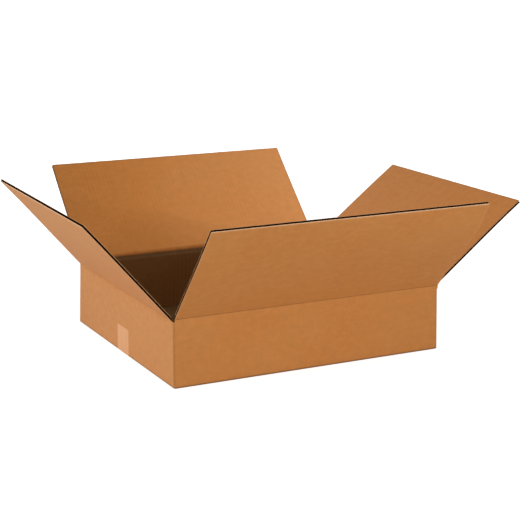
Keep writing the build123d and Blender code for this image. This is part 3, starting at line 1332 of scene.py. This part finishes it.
@dataclass
class Tape:
    """A strip of carton tape under the bottom seam and up both short walls, torn on a toothed blade."""

    length: float
    width: float = 0.048
    rise: float = 0.044  # up each short wall
    thickness: float = 0.00006
    radius: float = 0.00144  # of its bend round the short walls' feet
    lift: float = 0.00001  # gap between the tape and the board
    tooth_pitch: float = 0.0016
    tooth_depth: float = 0.0008
    step: float = 0.004
    bend_steps: int = 6

    def outline(self) -> tuple[Array, Array]:
        """Lay out the tape's inner side in the middle plane.

        Returns:
            Places as rows of x and z, and the outward direction at each.
        """
        half, r = self.length / 2, self.radius
        floor = self.thickness + self.lift
        up_count = max(2, round(self.rise / self.step))
        heights = np.linspace(self.rise, floor + r, up_count)
        angles = np.radians(np.linspace(10.0, 80.0, self.bend_steps))
        run = np.linspace(-half + r, 0.0, round(half / self.step / 2))
        side = np.column_stack((np.full(up_count, -half), heights))
        bend = np.column_stack((-half + r - r * np.cos(angles), floor + r - r * np.sin(angles)))
        under = np.column_stack((run, np.full(len(run), floor)))
        places = np.concatenate((side, bend, under))
        outward = np.concatenate(
            (
                np.tile((-1.0, 0.0), (up_count, 1)),
                np.column_stack((-np.cos(angles), -np.sin(angles))),
                np.tile((0.0, -1.0), (len(run), 1)),
            )
        )
        mirror = np.array((-1.0, 1.0))
        return (
            np.concatenate((places, places[-2::-1] * mirror)),
            np.concatenate((outward, outward[-2::-1] * mirror)),
        )

    def build(self) -> bpy.types.Object:
        """Make the tape.

        Returns:
            The new object.
        """
        places, outward = self.outline()
        count = round(self.width / self.tooth_pitch * 2)
        y = np.linspace(-self.width / 2, self.width / 2, count + 1)
        tooth = self.tooth_depth * (np.arange(count + 1) % 2)
        run = np.concatenate(([0.0], np.cumsum(np.linalg.norm(np.diff(places, axis=0), axis=1))))
        shell = Shell()
        firsts = []
        for offset in (self.lift, self.lift + self.thickness):
            x, z = (places + outward * offset).T[:, :, None]
            z = z + 0 * y
            z[[0, -1]] -= tooth
            firsts.append(shell.add_points(point_rows(x, y, z), point_rows(run[:, None], y, 0.0)))
        size = (len(places), len(y))
        inner, outer = firsts
        shell.add_faces(grid_quads(inner, *size), Surface.OUTSIDE)
        shell.add_faces(grid_quads(outer, *size)[:, ::-1], Surface.OUTSIDE)
        shell.add_faces(rim_quads(outer, inner, *size), Surface.OUTSIDE)
        return shell.piece("sealing_tape_film", {Surface.OUTSIDE: TAPE})


@dataclass
class Carton:
    """The whole carton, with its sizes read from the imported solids."""

    flap_reach: float = 0.2067  # from a flap's fold to its free edge
    layer_gap: float = 0.0003  # between boards that are folded over each other
    tape_layer: float = 0.0001  # room for the tape under the outer bottom flaps
    bottom_short_slot: float = 0.0068  # from a short bottom flap's ends to the long walls' faces
    traits: dict[str, dict[str, float | tuple]] = field(
        default_factory=lambda: {
            "front": {"bows": (0.0074, 0.0008)},
            # painted light and shade: the back flap's inside is painted darker at its left end and
            # lighter towards its right end
            "back": {"bows": (0.0008, 0.0008), "bleach": (-0.18, 0.12, 0.29)},
            "left": {
                # the left flap: painted sheen on its outer facing, a wider painted highlight along its
                # edges and a fainter painted fold line
                "bows": (-0.0004, -0.0008),
                "corner_radii": (0.002, 0.0015),
                "flares": (0.0, 0.0035),
                "rubbed": 0.07,
                "wear_width": 0.003,
                "fold_shade": 0.4,
            },
            "right": {"bows": (-0.0008, -0.0008)},
        }
    )  # what sets each top flap apart
    bottom_painted_shade: tuple[float, float, float] = (-0.25, -0.25, -0.25)  # painted shade: the carton's floor is painted darker because it lies in shade
    splay_left: float = 0.0036  # how far the left wall's foot stands out at its back end
    splay_right: float = 0.0026  # how far the right wall's foot stands out

    def __post_init__(self) -> None:
        """Read the carton's outer sizes from the body and the joints."""
        low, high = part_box("box_body")
        self.length = high.x - low.x
        self.width = high.y - low.y
        self.path = WallPath(self.length, self.width, BOARD.thickness)
        self.hinges = {joint["child"]: joint for joint in frame["joints"]}
        self.sheet = FlutedSheet(BOARD)

    def wall(self, name: str) -> tuple[Array, Array]:
        """Give the direction along a wall and the direction inwards from it."""
        direction = self.path.straights[name][1]
        return np.array((*direction, 0.0)), np.array((direction[1], -direction[0], 0.0))

    def fold(self, name: str) -> Array:
        """Give the middle of a wall's top fold, on its outer face."""
        _, inward = self.wall(name)
        half = abs(inward @ np.array((self.length, self.width, 0.0))) / 2
        return -inward * half + UP * self.hinges[f"{name}_flap"]["pos_m"][2]

    def top_flap(self, name: str) -> TopFlap:
        """Lay out one top flap.

        Args:
            name: The wall that it belongs to.

        Returns:
            The flap, not yet built.
        """
        along, inward = self.wall(name)
        origin = self.fold(name)
        corners = np.array([tuple(corner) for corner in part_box(f"{name}_flap")])
        span = tuple(sorted(float((corner - origin) @ along) for corner in corners))
        overhang = max(float((origin - corner) @ inward) for corner in corners)
        return TopFlap(
            name=f"{name}_flap",
            origin=origin,
            along=along,
            up=UP,
            inward=inward,
            span=span,
            rise=(TopFlap.score_reach, self.flap_reach),
            sheet_u=self.path.middle(name),
            sheet_v=float(origin[2]),
            free_edge=self.flap_reach,
            lean=math.asin(overhang / self.flap_reach),
            **self.traits[name],
        )

    def bottom_flap(self, name: str) -> Panel:
        """Lay out one bottom flap: the long walls' pair lies outside the short walls' pair.

        Args:
            name: The wall that it belongs to.

        Returns:
            The flap, not yet built.
        """
        along, inward = self.wall(name)
        is_outer = name in ("front", "back")
        wall_length = self.length if is_outer else self.width
        slot = BOARD.thickness + self.layer_gap if is_outer else self.bottom_short_slot
        level = self.tape_layer if is_outer else BOARD.thickness + self.layer_gap
        origin = self.fold(name)
        origin[2] = level
        half = wall_length / 2 - slot
        return Panel(
            name=f"bottom_{name}_flap",
            origin=origin,
            along=along,
            up=-inward,
            inward=UP,
            span=(-half, half),
            rise=(-self.flap_reach, -BOARD.thickness),
            sheet_u=self.path.middle(name),
            sheet_v=0.0,
            free_edge=-self.flap_reach,
            inside=KRAFT_WELL_SHADED,
            bleach=self.bottom_painted_shade,
        )

    def splay(self, piece: bpy.types.Object) -> None:
        """Let the short walls' feet stand out a little, pushed apart by the folded bottom.

        Args:
            piece: A piece of the body, whose points below the scores are moved.
        """
        points = vertex_places(piece.data)
        x, y, z = points.T
        foot = np.clip(1 - z / (float(self.fold("left")[2]) - TopFlap.score_reach), 0.0, 1.0)
        rightness = np.clip(0.5 + x / self.length, 0.0, 1.0)
        backness = np.clip(0.5 + y / self.width, 0.0, 1.0)
        left = -self.splay_left * backness * (1 - rightness)
        points[:, 0] += foot * (left + self.splay_right * rightness)
        piece.data.vertices.foreach_set("co", points.ravel())
        piece.data.update()

    def build_flaps(self) -> dict[str, TopFlap]:
        """Build the four top flaps and their scores.

        Returns:
            The flaps by wall.
        """
        flaps = {name: self.top_flap(name) for name in self.traits}
        for name, flap in flaps.items():
            for piece in flap.build(self.sheet):
                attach(piece, flap.name)
                report(piece)
            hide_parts(flap.name)
            crease = flap.crease()
            reach = flap.blend_reach
            start, end = (Vector(flap.place(0.0, v, 0.0)[0]) for v in (-reach, reach))
            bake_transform(crease)
            report(crease)
        return flaps

    def build_body(self, flaps: dict[str, TopFlap]) -> None:
        """Build the walls, the bottom flaps and the tape.

        Args:
            flaps: The top flaps by wall, which say where the scores end.
        """
        walls = Walls(
            path=self.path,
            long_height=float(self.fold("front")[2]),
            short_height=float(self.fold("left")[2]),
            flap_spans={name: flap.span for name, flap in flaps.items()},
            score_reach=TopFlap.score_reach,
        ).build()
        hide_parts("box_body")
        pieces = [walls]
        for name in self.traits:
            pieces += self.bottom_flap(name).build(self.sheet)
        for piece in pieces:
            self.splay(piece)
            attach(piece, "box")
            report(piece)
        tape = Tape(length=self.length).build()
        self.splay(tape)
        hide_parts("sealing_tape")
        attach(tape, "box")
        report(tape)


@dataclass(frozen=True)
class Lamp:
    """A soft rectangular lamp that is aimed at a point of the carton."""

    name: str
    place: tuple[float, float, float]
    size: tuple[float, float]
    power: float
    aim: tuple[float, float, float] = (0.0, 0.0, 0.1)

    def build(self) -> None:
        """Make the lamp and aim it."""
        data = bpy.data.lights.new(self.name, "AREA")
        data.shape = "RECTANGLE"
        data.size, data.size_y = self.size
        data.energy = self.power
        lamp = linked(self.name, data)
        lamp.location = self.place
        lamp.visible_camera = False
        direction = Vector(self.aim) - Vector(self.place)
        lamp.rotation_mode = "QUATERNION"
        lamp.rotation_quaternion = direction.to_track_quat("-Z", "Y")


@dataclass
class Studio:
    """Floor, lamps, white surroundings and the camera."""

    azimuth: float = -26.54
    elevation: float = 13.53
    roll: float = 0.08
    camera_place: tuple[float, float, float] = (-1.00736, -2.04798, 0.67730)
    focal_pixels: float = 1402.06
    picture_pixels: float = 522.0
    sensor: float = 36.0
    fill_level: float = 0.15
    floor_half: float = 12.0
    lamps: tuple[Lamp, ...] = (
        Lamp("left_lamp", (-2.7, -0.1, 0.98), (1.0, 0.1), 37.5),
        Lamp("front_lamp", (0.05, -2.7, 0.955), (1.0, 0.04), 35.2),
        Lamp("corner_lamp", (-2.21, -1.55, 0.975), (1.0, 0.04), 7.4),
        Lamp("right_lamp", (2.7, 0.1, 1.0), (1.0, 0.1), 24.5),
        Lamp("back_lamp", (-0.05, 2.7, 1.0), (1.0, 0.1), 24.5),
        Lamp("far_lamp", (2.21, 1.55, 1.0), (1.0, 0.1), 11.0),
    )

    def build_camera(self) -> None:
        """Make the camera that sees the carton as the photograph does."""
        data = bpy.data.cameras.new("camera")
        data.sensor_width = self.sensor
        data.lens = self.focal_pixels / self.picture_pixels * self.sensor
        camera = linked("camera", data)
        azimuth, elevation = math.radians(self.azimuth), math.radians(self.elevation)
        flat = math.cos(elevation)
        back = Vector((math.sin(azimuth) * flat, -math.cos(azimuth) * flat, math.sin(elevation)))
        camera.location = self.camera_place
        camera.rotation_mode = "QUATERNION"
        turn = Quaternion((0.0, 0.0, 1.0), math.radians(self.roll))
        camera.rotation_quaternion = back.to_track_quat("Z", "Y") @ turn
        bpy.context.scene.camera = camera

    def build_world(self) -> None:
        """Make surroundings that look white and light the carton at a plain level."""
        world = bpy.data.worlds.new("studio")
        world.use_nodes = True
        world.node_tree.nodes.clear()
        graph = Graph(world.node_tree)
        seen = graph.seen_directly()
        fill, bright = (
            graph.add("ShaderNodeBackground", {"Color": WHITE, "Strength": level}).outputs[0]
            for level in (self.fill_level, 1.0)
        )
        both = graph.add("ShaderNodeMixShader", {0: seen, 1: fill, 2: bright}).outputs[0]
        graph.add("ShaderNodeOutputWorld", {"Surface": both})
        bpy.context.scene.world = world

    def build_floor(self) -> None:
        """Make the floor that the carton stands on."""
        half = self.floor_half
        mesh = bpy.data.meshes.new("floor")
        corners = [(-half, -half, 0.0), (half, -half, 0.0), (half, half, 0.0), (-half, half, 0.0)]
        mesh.from_pydata(corners, [], [(0, 1, 2, 3)])
        mesh.materials.append(FLOOR.material())
        linked("floor", mesh)

    def build(self) -> None:
        """Make all of it."""
        self.build_floor()
        self.build_world()
        self.build_camera()
        for lamp in self.lamps:
            lamp.build()
        bpy.context.scene.view_settings.view_transform = "Standard"


def report(piece: bpy.types.Object) -> None:
    """Log a finished piece with its size."""
    faces = len(piece.data.polygons)
    log.info("%s: %d points, %d faces", piece.name, len(piece.data.vertices), faces)


def main() -> None:
    """Build the carton, then the studio."""
    logging.basicConfig(level=logging.INFO, format="%(message)s", stream=sys.stdout)
    carton = Carton()
    flaps = carton.build_flaps()
    carton.build_body(flaps)
    Studio().build()


if __name__ == "__main__":
    main()
